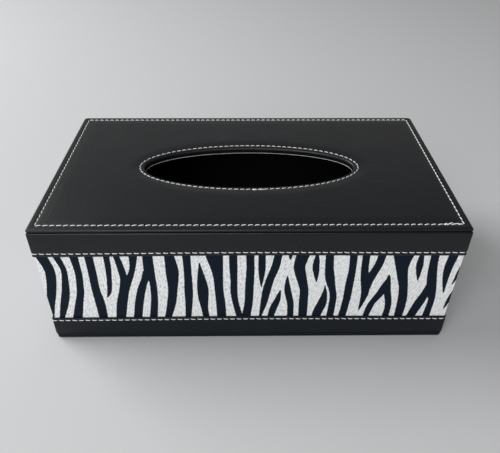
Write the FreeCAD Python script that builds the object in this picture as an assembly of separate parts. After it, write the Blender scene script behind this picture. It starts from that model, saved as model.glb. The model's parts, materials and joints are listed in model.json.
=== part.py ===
import FreeCAD, Part
import math
import os

from FreeCAD import Vector

# Tissue box cover: a board box in black leatherette with a zebra print band round its walls.
# Millimetres, +Z up. The origin is the middle of the base's underside, +X runs along the length
# and -Y is the front. Tissues are drawn through the oval mouth in the top, and the base is a flap
# on a leather hinge along the lower back edge, so that a box of tissues can be loaded from below.

# Overall size, over the leatherette
cover_length = 250.0
cover_depth = 142.0
cover_height = 88.0
corner_radius = 2.5

# Layers of the walls, from outside to inside
band_skin = 0.9
print_skin = 0.8
wall_board = 3.0
wall_lining = 0.6

# Layers of the top, from above to below, and the turned edges of its panel
top_skin = 0.9
top_foam_thickness = 1.1
top_board_thickness = 2.0
top_lining_thickness = 0.6
panel_edge_radius = 1.1
panel_under_bevel = 0.6

# Oval mouth: its clear size, and how far its middle lies from the middle of the top
mouth_length = 138.0
mouth_depth = 50.8
mouth_offset = -1.6
mouth_roll_radius = 1.2
mouth_lining_lip = 0.4

# Bands: the print runs on behind both black bands by the lap
upper_band_height = 17.0
lower_band_height = 15.0
band_lap = 5.0
band_turn_in = 0.8
band_top_bevel = 0.8
band_foot_bevel = 0.7
band_lip_bevel = 0.3

# Base flap, from below to above, its inset from the walls and its gap below them
base_skin = 0.8
base_board_thickness = 2.0
base_lining_thickness = 0.5
base_edge_radius = 1.2
flap_inset = 0.8
flap_gap = 0.2

# Leather hinge along the lower back edge
hinge_end_margin = 14.0
hinge_end_gap = 0.2
hinge_hem = 0.5
hinge_crease_radius = 0.4

# Catch magnets: bars in the front board's lower edge, and in the base board below them
magnet_length = 12.0
magnet_width = 2.0
wall_magnet_height = 2.0
flap_magnet_height = 1.5
magnet_spacing = 150.0

# Seams: distance of the thread from the edge that it runs along
top_seam_inset = 4.5
mouth_seam_inset = 3.0
upper_seam_inset = 1.6
lower_seam_inset = 2.6

# Stitches, and the thread that they are made of
top_stitch_pitch = 3.8
top_stitch_length = 2.9
mouth_stitch_pitch = 3.7
mouth_stitch_length = 2.7
band_stitch_pitch = 4.15
band_stitch_length = 3.1
thread_width = 0.7
thread_height = 0.35

# Cuts run past what they cut by the overrun, and heights this close are the same height
overrun = 5.0
same_height = 1e-6

# Distance of each wall layer's outer face from the outside of the cover
print_face = band_skin
board_face = print_face + print_skin
lining_face = board_face + wall_board
cavity_face = lining_face + wall_lining
flap_board_face = flap_inset + base_skin

# Heights of the layers and of the bands' edges
base_board_top = base_skin + base_board_thickness
flap_top = base_board_top + base_lining_thickness
wall_bottom = flap_top + flap_gap
board_bottom = wall_bottom + band_turn_in
foam_top = cover_height - top_skin
panel_bottom = foam_top - top_foam_thickness
wall_board_top = panel_bottom - top_board_thickness
wall_lining_top = wall_board_top - top_lining_thickness
upper_band_bottom = panel_bottom - upper_band_height
lower_band_top = wall_bottom + lower_band_height
print_top = upper_band_bottom + band_lap
print_bottom = lower_band_top - band_lap
hinge_height = wall_bottom - flap_gap / 2

# Outer faces of the walls, and the reach of the hinge and of the parting cuts along them
right_face = cover_length / 2
back_face = cover_depth / 2
hinge_window = right_face - hinge_end_margin
hinge_reach = hinge_window - hinge_end_gap
magnet_line = lining_face - wall_board / 2 - back_face


def rounded_outline(length, depth, radius, height):
    """Closed wire of a rectangle with round corners, centred on the Z axis."""
    x, y = length / 2, depth / 2
    if radius <= 0:
        corners = [(-x, -y), (x, -y), (x, y), (-x, y), (-x, -y)]
        return Part.makePolygon([Vector(*corner, height) for corner in corners])
    arcs = []
    for quarter, (side, end) in enumerate([(1, -1), (1, 1), (-1, 1), (-1, -1)]):
        centre = Vector(side * (x - radius), end * (y - radius), height)
        angles = [math.pi / 2 * (quarter - 1 + step / 2) for step in range(3)]
        points = [centre + Vector(math.cos(a), math.sin(a), 0) * radius for a in angles]
        arcs.append(Part.Arc(*points))
    runs = []
    for arc, following in zip(arcs, arcs[1:] + arcs[:1]):
        runs.append(arc.toShape())
        runs.append(Part.LineSegment(arc.EndPoint, following.StartPoint).toShape())
    return Part.Wire(runs)


def flat_edges(shape, height):
    """Edges that lie flat at a height."""
    return [e for e in shape.Edges if all(abs(v.Z - height) < same_height for v in e.Vertexes)]


def plan(inset, low, high, low_bevel=0, high_bevel=0):
    """Upright block with the cover's plan, set in from the outside, with its ends bevelled."""
    length, depth = cover_length - 2 * inset, cover_depth - 2 * inset
    outline = rounded_outline(length, depth, corner_radius - inset, low)
    block = Part.Face(outline).extrude(Vector(0, 0, high - low))
    for height, bevel in ((low, low_bevel), (high, high_bevel)):
        if bevel > 0:
            block = block.makeChamfer(bevel, flat_edges(block, height))
    return block


def oval(growth, low, high):
    """Upright block with the mouth's oval plan, grown outwards."""
    middle = Vector(0, mouth_offset, low)
    curve = Part.Ellipse(middle, mouth_length / 2 + growth, mouth_depth / 2 + growth)
    return Part.Face(Part.Wire(curve.toShape())).extrude(Vector(0, 0, high - low))


def box(low, high):
    """Block between its lowest and highest corners."""
    return Part.makeBox(*[b - a for a, b in zip(low, high)], Vector(*low))


def walls(outer_inset, inner_inset, low, high):
    """Front, back, left and right sheets of one wall layer: the ends fit between the long sides."""
    layer = plan(outer_inset, low, high).cut(plan(inner_inset, low - overrun, high + overrun))
    x, y = right_face + overrun, back_face + overrun
    inner_y = back_face - inner_inset
    front = layer.common(box((-x, -y, low), (x, -inner_y, high)))
    back = layer.common(box((-x, inner_y, low), (x, y, high)))
    left = layer.common(box((-x, -inner_y, low), (0, inner_y, high)))
    right = layer.common(box((0, -inner_y, low), (x, inner_y, high)))
    return front, back, left, right


def magnets(low, high):
    """The two bars of one magnet pair, under the middle of the front board."""
    bars = []
    for side in (-1, 1):
        x = side * magnet_spacing / 2
        corner = (x - magnet_length / 2, magnet_line - magnet_width / 2, low)
        far_corner = (x + magnet_length / 2, magnet_line + magnet_width / 2, high)
        bars.append(box(corner, far_corner))
    return Part.makeCompound(bars)


def top_filling(low, high):
    """Room inside the top cover's turned edge and outside its rolled mouth."""
    return plan(top_skin, low, high).cut(oval(top_skin, low - overrun, high + overrun))


def make_top_cover():
    """Leatherette panel with a turned edge, rolled through the mouth down to the board's underside."""
    panel = plan(0, panel_bottom, cover_height, panel_under_bevel)
    panel = panel.makeFillet(panel_edge_radius, flat_edges(panel, cover_height))
    sleeve = oval(top_skin, wall_board_top, foam_top)
    cover = panel.cut(top_filling(panel_bottom - overrun, foam_top)).fuse(sleeve)
    cover = cover.cut(oval(0, wall_board_top - overrun, cover_height + overrun)).removeSplitter()
    rim = [edge for edge in flat_edges(cover, cover_height) if edge.isClosed()]
    return cover.makeFillet(mouth_roll_radius, rim)


def make_top_board():
    board = plan(board_face, wall_board_top, panel_bottom)
    return board.cut(oval(top_skin, wall_board_top - overrun, panel_bottom + overrun))


def make_top_lining():
    """Lining under the top board, whose cut edge stands into the mouth as a thin lip."""
    sheet = plan(lining_face, wall_lining_top, wall_board_top)
    return sheet.cut(oval(-mouth_lining_lip, wall_lining_top - overrun, wall_board_top + overrun))


def make_upper_band():
    """Band under the top panel, thinned where it laps over the print."""
    band = plan(0, upper_band_bottom, panel_bottom, band_lip_bevel, band_top_bevel)
    band = band.cut(plan(print_face, upper_band_bottom - overrun, print_top))
    return band.cut(plan(board_face, upper_band_bottom - overrun, panel_bottom + overrun))


def make_print_band():
    band = plan(print_face, print_bottom, print_top)
    return band.cut(plan(board_face, print_bottom - overrun, print_top + overrun))


def make_lower_band():
    """Band that laps over the print and turns under the wall boards, open where the hinge lies."""
    band = plan(0, wall_bottom, lower_band_top, band_foot_bevel, band_lip_bevel)
    band = band.cut(plan(print_face, print_bottom, lower_band_top + overrun))
    band = band.cut(plan(board_face, board_bottom, lower_band_top + overrun))
    band = band.cut(plan(cavity_face, wall_bottom - overrun, lower_band_top))
    low = (-hinge_window, back_face - board_face, wall_bottom - overrun)
    high = (hinge_window, back_face + overrun, lower_band_top + overrun)
    return band.cut(box(low, high))


def make_hinge_strip():
    """Strip that takes the lower band's place along the back and runs down over the flap's edge."""
    profile = [
        (back_face, hinge_hem),
        (back_face, lower_band_top - band_lip_bevel),
        (back_face - band_lip_bevel, lower_band_top),
        (back_face - print_face, lower_band_top),
        (back_face - print_face, print_bottom),
        (back_face - board_face, print_bottom),
        (back_face - board_face, wall_bottom),
        (back_face - flap_inset, wall_bottom),
        (back_face - flap_inset, hinge_hem),
    ]
    points = [Vector(-hinge_reach, y, z) for y, z in profile + profile[:1]]
    strip = Part.Face(Part.makePolygon(points)).extrude(Vector(2 * hinge_reach, 0, 0))
    start = Vector(-hinge_reach - overrun, back_face, hinge_height)
    length = 2 * (hinge_reach + overrun)
    return strip.cut(Part.makeCylinder(hinge_crease_radius, length, start, Vector(1, 0, 0)))


def make_base_cover():
    """Leatherette tray of the flap."""
    tray = plan(flap_inset, 0, flap_top)
    tray = tray.makeFillet(base_edge_radius, flat_edges(tray, 0))
    return tray.cut(plan(flap_board_face, base_skin, flap_top + overrun))


def make_base_board():
    pockets = magnets(base_board_top - flap_magnet_height, base_board_top + overrun)
    return plan(flap_board_face, base_skin, base_board_top).cut(pockets)


def stitch(middle, along, outward, length):
    """One stitch, a low ridge of thread lying on a face with the given outward direction."""
    section = [(-thread_width / 2, 0), (thread_width / 2, 0), (0, thread_height)]
    points = [Vector(-length / 2, y, z) for y, z in section + section[:1]]
    ridge = Part.Face(Part.makePolygon(points)).extrude(Vector(length, 0, 0))
    turn = FreeCAD.Rotation(along, outward.cross(along), outward, "XZY")
    ridge.Placement = FreeCAD.Placement(middle, turn)
    return ridge


def straight_seam(start, end, outward, pitch, length):
    """Evenly spaced stitches from start to end."""
    run = end - start
    count = max(1, round(run.Length / pitch))
    return [stitch(start + run * ((i + 0.5) / count), run, outward, length) for i in range(count)]


def make_wall_seam(height):
    """Stitches round the four walls at one height, between the round corners."""
    x, y = right_face, back_face
    stitches = []
    for side in (-1, 1):
        face = Vector(0, side * y, height)
        run = Vector(x - corner_radius, 0, 0)
        outward = Vector(0, side, 0)
        stitches += straight_seam(face - run, face + run, outward, band_stitch_pitch, band_stitch_length)
        face = Vector(side * x, 0, height)
        run = Vector(0, y - corner_radius, 0)
        outward = Vector(side, 0, 0)
        stitches += straight_seam(face - run, face + run, outward, band_stitch_pitch, band_stitch_length)
    return Part.makeCompound(stitches)


def make_top_seam():
    """Stitches round the top panel."""
    x, y = right_face - top_seam_inset, back_face - top_seam_inset
    corners = [Vector(px, py, cover_height) for px, py in [(-x, -y), (x, -y), (x, y), (-x, y)]]
    stitches = []
    for start, end in zip(corners, corners[1:] + corners[:1]):
        stitches += straight_seam(start, end, Vector(0, 0, 1), top_stitch_pitch, top_stitch_length)
    return Part.makeCompound(stitches)


def make_mouth_seam():
    """Stitches round the mouth, evenly spaced along the oval."""
    middle = Vector(0, mouth_offset, cover_height)
    reach, half_depth = mouth_length / 2 + mouth_seam_inset, mouth_depth / 2 + mouth_seam_inset
    seam = Part.Ellipse(middle, reach, half_depth).toShape()
    count = round(seam.Length / mouth_stitch_pitch)
    stitches = []
    for i in range(count):
        place = seam.getParameterByLength(seam.Length * (i + 0.5) / count)
        along = seam.tangentAt(place)
        stitches.append(stitch(seam.valueAt(place), along, Vector(0, 0, 1), mouth_stitch_length))
    return Part.makeCompound(stitches)


wall_magnets = magnets(board_bottom, board_bottom + wall_magnet_height)
front_board, back_board, left_board, right_board = walls(
    board_face, lining_face, board_bottom, wall_board_top
)
front_lining, back_lining, left_lining, right_lining = walls(
    lining_face, cavity_face, board_bottom, wall_lining_top
)

pieces = {
    "top_board": make_top_board(),
    "front_board": front_board.cut(magnets(board_bottom - overrun, board_bottom + wall_magnet_height)),
    "back_board": back_board,
    "left_board": left_board,
    "right_board": right_board,
    "top_foam": top_filling(panel_bottom, foam_top),
    "top_cover": make_top_cover(),
    "upper_band": make_upper_band(),
    "print_band": make_print_band(),
    "lower_band": make_lower_band(),
    "top_seam_thread": make_top_seam(),
    "mouth_seam_thread": make_mouth_seam(),
    "upper_seam_thread": make_wall_seam(upper_band_bottom + upper_seam_inset),
    "lower_seam_thread": make_wall_seam(lower_band_top - lower_seam_inset),
    "top_lining": make_top_lining(),
    "front_lining": front_lining,
    "back_lining": back_lining,
    "left_lining": left_lining,
    "right_lining": right_lining,
    "wall_magnets": wall_magnets,
    "base_board": make_base_board(),
    "base_cover": make_base_cover(),
    "base_lining": plan(flap_board_face, base_board_top, flap_top),
    "flap_magnets": magnets(base_board_top - flap_magnet_height, base_board_top),
    "hinge_strip": make_hinge_strip(),
}

os.makedirs("parts", exist_ok=True)
for name, shape in pieces.items():
    shape.exportStep(os.path.join("parts", name + ".step"))
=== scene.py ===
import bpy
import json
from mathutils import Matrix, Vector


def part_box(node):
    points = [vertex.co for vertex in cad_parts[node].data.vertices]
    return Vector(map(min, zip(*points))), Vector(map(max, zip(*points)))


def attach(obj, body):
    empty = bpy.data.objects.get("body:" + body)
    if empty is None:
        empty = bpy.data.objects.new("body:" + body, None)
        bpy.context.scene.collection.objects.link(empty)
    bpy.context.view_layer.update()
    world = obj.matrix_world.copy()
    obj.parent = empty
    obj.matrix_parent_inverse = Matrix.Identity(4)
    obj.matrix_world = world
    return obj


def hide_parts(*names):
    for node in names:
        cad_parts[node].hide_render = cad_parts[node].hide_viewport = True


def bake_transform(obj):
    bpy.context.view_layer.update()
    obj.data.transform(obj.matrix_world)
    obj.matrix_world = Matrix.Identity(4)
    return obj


bl_info = {
    "name": "Tissue box cover",
    "version": (1, 0, 0),
    "blender": (4, 5, 0),
    "location": "3D View > Sidebar > Tissue cover",
    "description": "Dresses a tissue box cover in leatherette, zebra print and contrast stitching",
    "category": "Object",
}

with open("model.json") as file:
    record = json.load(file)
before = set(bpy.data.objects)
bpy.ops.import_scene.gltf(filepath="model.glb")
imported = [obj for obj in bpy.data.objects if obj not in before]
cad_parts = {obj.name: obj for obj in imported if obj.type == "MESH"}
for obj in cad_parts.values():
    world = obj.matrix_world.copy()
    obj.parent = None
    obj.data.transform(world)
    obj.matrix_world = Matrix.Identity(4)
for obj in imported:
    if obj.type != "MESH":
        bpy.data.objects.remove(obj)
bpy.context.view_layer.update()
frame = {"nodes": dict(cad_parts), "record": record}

import json
import math
from functools import partial

import bmesh
import bpy
import numpy as np
from bpy.props import FloatProperty, FloatVectorProperty, IntProperty, PointerProperty
from mathutils import Vector

MM = 0.001

# Kinds of node that the trees use most
MATH = "ShaderNodeMath"
VECTOR_MATH = "ShaderNodeVectorMath"

# Places taken from the packed model, in metres: +X along the cover, -Y to its front, +Z up
TOP_LOW, TOP_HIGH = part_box("top_cover")
UPPER_LOW, UPPER_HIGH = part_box("upper_band")
PRINT_LOW, PRINT_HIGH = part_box("print_band")
LOWER_LOW, LOWER_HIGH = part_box("lower_band")
BOARD_LOW, BOARD_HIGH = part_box("front_board")
WALL_LINING_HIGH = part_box("front_lining")[1]
LINING_LOW, LINING_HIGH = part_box("top_lining")
BASE_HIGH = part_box("base_cover")[1]
BASE_BOARD_LOW, BASE_BOARD_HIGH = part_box("base_board")
STRIP_LOW, STRIP_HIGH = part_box("hinge_strip")
TOP_SEAM_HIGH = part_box("top_seam_thread")[1]
MOUTH_SEAM_LOW, MOUTH_SEAM_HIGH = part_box("mouth_seam_thread")
UPPER_SEAM_LOW, UPPER_SEAM_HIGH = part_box("upper_seam_thread")
LOWER_SEAM_LOW, LOWER_SEAM_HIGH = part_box("lower_seam_thread")
HINGE = Vector(frame["record"]["behaviour"]["joints"][0]["pos_m"])

HALF_LENGTH, HALF_DEPTH, TOP = TOP_HIGH
PANEL_LOW = UPPER_HIGH.z
THREAD = UPPER_SEAM_HIGH.z - UPPER_SEAM_LOW.z
TOP_SEAM_INSET = HALF_LENGTH - TOP_SEAM_HIGH.x + THREAD / 2
MOUTH_MIDDLE = (MOUTH_SEAM_LOW.y + MOUTH_SEAM_HIGH.y) / 2
MOUTH_SEAM_LONG = MOUTH_SEAM_HIGH.x - THREAD / 2
MOUTH_SEAM_SHORT = MOUTH_SEAM_HIGH.y - MOUTH_MIDDLE - THREAD / 2
UPPER_SEAM = (UPPER_SEAM_LOW.z + UPPER_SEAM_HIGH.z) / 2
LOWER_SEAM = (LOWER_SEAM_LOW.z + LOWER_SEAM_HIGH.z) / 2

# Insets of the wall's layers from the outside of the cover
PRINT_FACE = HALF_LENGTH - PRINT_HIGH.x
BOARD_FACE = HALF_LENGTH - BOARD_HIGH.x
CAVITY_FACE = HALF_DEPTH + WALL_LINING_HIGH.y
BASE_FACE = HALF_LENGTH - BASE_HIGH.x
BASE_BOARD_FACE = HALF_LENGTH - BASE_BOARD_HIGH.x

# Zebra stripes as brush strokes: millimetres along the front from its middle, height and width.
# The same strokes repeat round the other walls.
ZEBRA_STROKES = (
    ((-122, 72, 6.4), (-118.8, 61, 6), (-118.4, 53, 5.8), (-120.8, 40, 5.4),
     (-123.7, 30, 5.4), (-127, 16, 5)),
    ((-113, 71, 4.2), (-110.2, 60, 3.3), (-110.2, 53, 3.4), (-112.3, 40, 4.6),
     (-115, 30, 4.7), (-119.5, 16, 2.8)),
    ((-102.4, 71, 5.1), (-101.8, 60, 4.1), (-101.8, 53, 4), (-103.3, 40, 4.2),
     (-105.6, 31, 4.6), (-109.5, 16, 5.8)),
    ((-93.6, 71, 4.6), (-93.5, 55, 4.7), (-93.7, 42, 4.8), (-92.9, 30, 5.7), (-92.9, 15, 5.3)),
    ((-83.4, 71, 3.4), (-83.5, 60, 3.3), (-84.3, 50, 2.8), (-85.6, 40.5, 2.4), (-87.6, 35, 0.4)),
    ((-78.2, 71, 3), (-76.4, 60, 3.9), (-75.6, 50, 4.4), (-76.9, 40, 5.6), (-79.4, 30, 6.3),
     (-82, 16, 5.8)),
    ((-67.6, 71, 5.4), (-69.1, 60, 3.4), (-71.6, 52, 3.5), (-74.4, 45, 4.1), (-77, 38, 4.8)),
    ((-59.5, 71, 5.4), (-59.8, 58, 6.1), (-59, 51.5, 4.5), (-58.5, 47.5, 3.9), (-58.6, 41, 4),
     (-59.1, 32, 4.1), (-61.3, 16, 4.8)),
    ((-61.5, 55.5, 4.2), (-63.2, 49.4, 4.1), (-64.8, 45.2, 4.4), (-66.6, 39.4, 4.8),
     (-68.9, 29.4, 5), (-71.3, 16, 5.1)),
    ((-47.4, 71, 5), (-46.4, 60, 7), (-46.3, 54, 7.4), (-47, 42, 5.5), (-48.8, 30, 5.2), (-52.2, 16, 3.8)),
    ((-37.2, 71, 4.6), (-37.1, 55, 4.3), (-37.5, 40, 5), (-38, 30, 4.2), (-39.2, 16, 3.4)),
    ((-29.9, 62.5, 0.4), (-29.2, 49, 5), (-28.8, 41, 6.6), (-28.8, 33, 5.8), (-28.3, 24, 4),
     (-27.6, 15, 4.2)),
    ((-21.2, 71, 10.6), (-19.9, 60, 7.5), (-19.2, 51, 5.6), (-18.9, 40, 5.1),
     (-18.2, 28, 5.5), (-17.9, 15, 5.6)),
    ((-9.9, 71, 4.5), (-10, 60, 4.6), (-9.8, 48, 3.9), (-9.9, 40, 4.1), (-9, 30, 3.6), (-6.2, 16, 4)),
    ((-0.2, 71, 4.5), (0.1, 58, 4.5), (-0.5, 42, 5), (-0.9, 30, 4.9), (-2.7, 16, 5.4)),
    ((6.8, 71, 3.8), (6.9, 60, 4.1), (6.8, 52, 3), (6.7, 43, 0.3)),
    ((16.6, 71, 4.2), (15, 60, 4.7), (12.1, 50, 4.6), (10, 40, 4.8), (8.6, 30, 3.9), (6.3, 17, 1.2)),
    ((23.4, 71, 2.4), (23.4, 67.5, 1.8), (23.4, 64.8, 0.3)),
    ((18.5, 40.5, 0.4), (17.6, 35.5, 2.5), (16.3, 30, 3.9), (14.6, 25, 4.3), (12.8, 16, 3.8)),
    ((22.4, 52, 0.4), (22.4, 47, 2.2), (23, 40, 3.9), (25, 30, 3.9), (25.5, 22, 3.8), (25.5, 15, 3.9)),
    ((31.2, 71, 7.6), (29.1, 60, 6.7), (30.4, 52, 6.1), (32.9, 41, 5.1), (33.2, 30, 5.4), (33.5, 15, 5.2)),
    ((38.9, 70, 0.8), (38.8, 64.5, 3), (38.8, 59, 3.9), (39.4, 53, 2.6), (40, 47.2, 0.4)),
    ((46.1, 71, 4.6), (46.7, 59.4, 4.8), (47.8, 51, 5.5), (49, 45.4, 4.8), (50.1, 41.4, 4),
     (51.4, 33, 4.1), (50.7, 15, 4.3)),
    ((45.5, 43.8, 0.3), (45.8, 39.4, 2), (45.5, 33.4, 4.3), (44.5, 27.6, 5.7),
     (43.1, 23, 5.8), (41.3, 15, 5)),
    ((60, 71, 4.4), (60.6, 57, 4.1), (60.2, 45, 4.7), (59.8, 31, 4.5), (58.3, 16, 4.6)),
    ((67.6, 71, 4.2), (67.8, 60, 4.2), (68.8, 50, 4.6), (70.5, 40, 4.7), (70.2, 33, 3.4),
     (68.6, 22.6, 0.4)),
    ((77.2, 71, 4.7), (76, 62, 4.6), (74.1, 55.4, 4.9), (72.4, 49.4, 4.4), (70.9, 41, 4.2)),
    ((83.3, 52.6, 0.4), (83.4, 48.5, 2.6), (84.3, 39, 4), (86.3, 30, 3.8), (86.7, 24, 3.8),
     (86.1, 15, 4.2)),
    ((83.3, 49, 2.2), (82.2, 44, 4.2), (79.9, 37, 4.4), (76.5, 30, 3.9), (75, 25, 4), (73.4, 16, 3.5)),
    ((89.3, 71, 13), (89.8, 60, 7.8), (91.3, 52, 6.2), (93.6, 42, 5.2), (94.8, 30, 5.6), (94.5, 15, 5)),
    ((99.9, 71, 1.2), (99.9, 65, 3.2), (100.1, 60, 4), (100.6, 54, 2.7), (101.3, 48, 0.4)),
    ((107.6, 71, 4.6), (108.2, 60, 4.9), (109.4, 50, 5.7), (110.9, 43, 5.4), (112.3, 36, 4.5),
     (113, 30, 3.9), (112.2, 16, 4.6)),
    ((109.6, 45, 4.5), (108.7, 40, 4.7), (107.5, 35.4, 5.1), (106.4, 31.4, 5.7),
     (105.2, 27.4, 5.9), (102.2, 16, 5.2)),
    ((119, 71, 5.6), (117.7, 60, 5), (117.6, 53, 4.1), (118.1, 46, 2.6), (119.2, 37.5, 0.4)),
    ((128.4, 71, 3), (126.8, 62, 3.4), (125.3, 55, 3.2), (124, 49.5, 1.7), (122.8, 44.5, 0.4)),
    ((128, 46, 0.6), (127, 41, 3.4), (125.1, 35, 3.4), (123.5, 29.5, 2), (122.4, 23.5, 0.4)),
)


def linear(code):
    """Linear red, green and blue of an sRGB hex colour."""
    shares = [int(code[i : i + 2], 16) / 255 for i in (1, 3, 5)]
    return tuple(s / 12.92 if s <= 0.04045 else ((s + 0.055) / 1.055) ** 2.4 for s in shares)


def number(name, description, default, **kind):
    """Property that holds a number, with its unit or subtype."""
    return FloatProperty(name=name, description=description, default=default, **kind)


def length(name, description, millimetres):
    """Property that holds a length."""
    return number(name, description, millimetres * MM, unit="LENGTH", precision=4)


def tint(name, description, code):
    """Property that holds a colour."""
    return FloatVectorProperty(name=name, description=description, default=linear(code), subtype="COLOR")


class CoverSizes(bpy.types.PropertyGroup):
    """Edges and swells of the leatherette"""

    corner_radius: length("Corner radius", "Radius of the walls' upright corners", 1.0)
    panel_corner: length("Panel corner", "Radius of the panel's front corners", 1.3)
    panel_back_corner: length("Panel back corner", "Radius of the panel's back corners", 2.6)
    tight_radius: length("Tight radius", "Least radius of a corner inside the skins", 0.3)
    panel_inset: length("Panel inset", "How far the panel's edge stands back from the walls", 0.2)
    skin: length("Skin", "Thickness of the leatherette", 0.9)
    panel_edge_width: length("Panel edge", "Width of the panel's rounded upper edge", 1.4)
    panel_under_radius: length("Panel underside", "Radius of the panel's lower edge", 0.5)
    panel_rise: length("Panel rise", "How far the panel's lower edge lies over its mark", 0.2)
    fold: length("Fold", "Thickness of the leather turned under the padding", 0.2)
    top_seam_shift: length("Top seam", "How far the top seam lies inside its mark", 0.15)
    mouth_draw: length("Mouth draw", "How far the sewing draws the mouth in", 0.5)
    mouth_seam_inset: length("Mouth seam", "Distance of the seam from the mouth", 3.0)
    mouth_roll_radius: length("Mouth roll", "Radius of the rolled rim of the mouth", 1.8)
    lining_lip: length("Lining lip", "How far the lining's cut edge stands into the mouth", 0.3)
    lining_edge: length("Lining edge", "Thickness of the lining's pale cut edge", 0.35)
    mouth_sag: length("Mouth sag", "How far the leather is drawn down at the mouth", 0.3)
    sag_reach: length("Sag reach", "Distance from the mouth at which the leather lies level", 12.0)
    crown: length("Crown", "Swell of the padding between the seams", 0.25)
    crown_reach: length("Crown reach", "Distance from a seam to the full swell", 7.0)
    groove_depth: length("Seam groove", "How far a seam draws the leather in", 0.2)
    groove_width: length("Groove width", "Half width of the drawn-in strip", 0.9)
    band_drop: length("Band drop", "How far the upper band's top edge lies under its mark", 0.4)
    band_top_radius: length("Band top", "Radius of the upper band's top edge", 1.1)
    slot: length("Slot", "Depth of the dark slot between the panel and the band", 1.25)
    # Depth past which the upper band's faces in the slot take a painted shade of dead black.
    inked: length("Inked", "Depth from which the upper band's edges are inked", 0.4)
    band_foot_radius: length("Band foot", "Radius of the lower band's turned edge", 1.0)
    band_lip_radius: length("Band lip", "Radius of a band's edge on the print", 0.35)
    band_groove: length("Band groove", "How far a band's seam draws it in", 0.15)
    seam_lift: length("Seam lift", "How far the bands' seams lie over their marks", 0.8)
    band_bow: length("Band bow", "How far the bands' sewn edges are pulled up between the corners", 0.35)
    base_inset: length("Base inset", "How far the base flap's edge stands back from the walls", 0.05)
    base_corner: length("Base corner", "Radius of the base flap's corners", 2.2)
    base_edge_radius: length("Base edge", "Radius of the base flap's lower edge", 1.2)
    base_shoulder: length("Base shoulder", "Radius of the base flap's upper edge", 0.7)
    crease_radius: length("Crease", "Radius of the hinge's crease", 0.4)


class SeamSizes(bpy.types.PropertyGroup):
    """Stitches of the four seams"""

    thread: length("Thread", "Width of the thread", 0.54)
    mouth_thread: length("Mouth thread", "Width of the finer thread round the mouth", 0.45)
    top_pitch: length("Top pitch", "Distance from stitch to stitch round the top", 3.8)
    mouth_pitch: length("Mouth pitch", "Distance from stitch to stitch round the mouth", 3.7)
    band_pitch: length("Band pitch", "Distance from stitch to stitch along the bands", 4.15)
    stitch_share: number(
        "Stitch share", "Share of the pitch that shows as thread", 0.75, subtype="FACTOR", min=0, max=1
    )
    top_slant: length("Top slant", "How far a top stitch's ends lie to either side of its seam", 0.32)
    mouth_slant: length("Mouth slant", "How far a mouth stitch's ends lie to either side of its seam", 0.15)
    band_slant: length("Band slant", "How far a band stitch's ends lie to either side of its seam", -0.12)
    stray: length("Stray", "How far single stitches stray from that slant", 0.12)
    rise: length("Rise", "Height of a stitch's middle over its ends", 0.42)
    sink: length("Sink", "How far a stitch's ends lie in the leather", 0.2)
    twist: length("Twist", "Distance from ply to ply along the thread", 0.55)
    tack_length: length("Back tack", "Length of the doubled stitching where a seam ends", 10.0)
    tack_start: length("Tack start", "Distance of the top seam's doubled stitching from the corner", 12.0)
    tack_sway: length("Tack sway", "How far the doubled stitching strays from its seam", 1.1)
    seed: IntProperty(name="Seed", description="Seed of the stitches' strays", default=7)


class PrintSizes(bpy.types.PropertyGroup):
    """Zebra print"""

    repeats: IntProperty(name="Repeats", description="Repeats of the print round the walls", default=3)
    scale: number("Scale", "Scale of the print along the walls", 0.9955)
    rise: length("Rise", "Shift of the print up the walls", 0.6)
    cell: length("Cell", "Spacing along the walls of the points that carry the stripes", 0.6)
    row: length("Row", "Spacing of those points up the walls", 1.0)
    ink_spread: length("Ink spread", "How far the ink spreads beyond a stroke", 0.15)
    edge_blur: length("Edge blur", "Half width of the ink's soft edge", 0.12)
    edge_waver: length("Edge waver", "How far the ink's edge wanders", 0.25)


class Finishes(bpy.types.PropertyGroup):
    """Colours of the materials"""

    leather: tint("Leatherette", "Black leatherette", "#0b0d10")
    leather_worn: tint("Leatherette, handled", "Where handling has polished it", "#111316")
    leather_low: tint("Leatherette, low", "Leatherette near the table", "#080f18")
    leather_rubbed: tint("Leatherette, rubbed", "Where rubbing has dulled it", "#0e151c")
    print_white: tint("Print white", "Ground of the print", "#fafbfb")
    print_shade: tint("Print shade", "Hollows of the print's grain", "#ccd1d5")
    ink: tint("Ink", "Stripes of the print", "#0b1826")
    thread: tint("Thread", "Contrast thread", "#fbfcfc")
    thread_shade: tint("Thread shade", "Between the thread's plies", "#eaeced")
    # These two flannel tints also colour the painted shade in the slot under the panel.
    flannel: tint("Flannel", "Nap of the linings", "#060607")
    brushed_flannel_and_slot_shade: tint("Flannel, brushed", "Nap that lies over", "#0c0c0e")
    backing: tint("Backing", "Cut edge of the lining", "#e6e1dd")
    backing_shade: tint("Backing shade", "Fibres of the cut edge", "#b9b2ac")
    board: tint("Fibreboard", "Raw board", "#a48a68")
    board_shade: tint("Fibreboard shade", "Fibres of the board", "#80694c")
    foam: tint("Foam", "Padding sheet", "#cfc7b0")
    foam_shade: tint("Foam shade", "Cells of the padding", "#a2977c")
    nickel: tint("Nickel", "Plated magnets", "#c3c1bb")
    floor: tint("Floor", "Pale studio floor", "#c9cacb")


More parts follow.
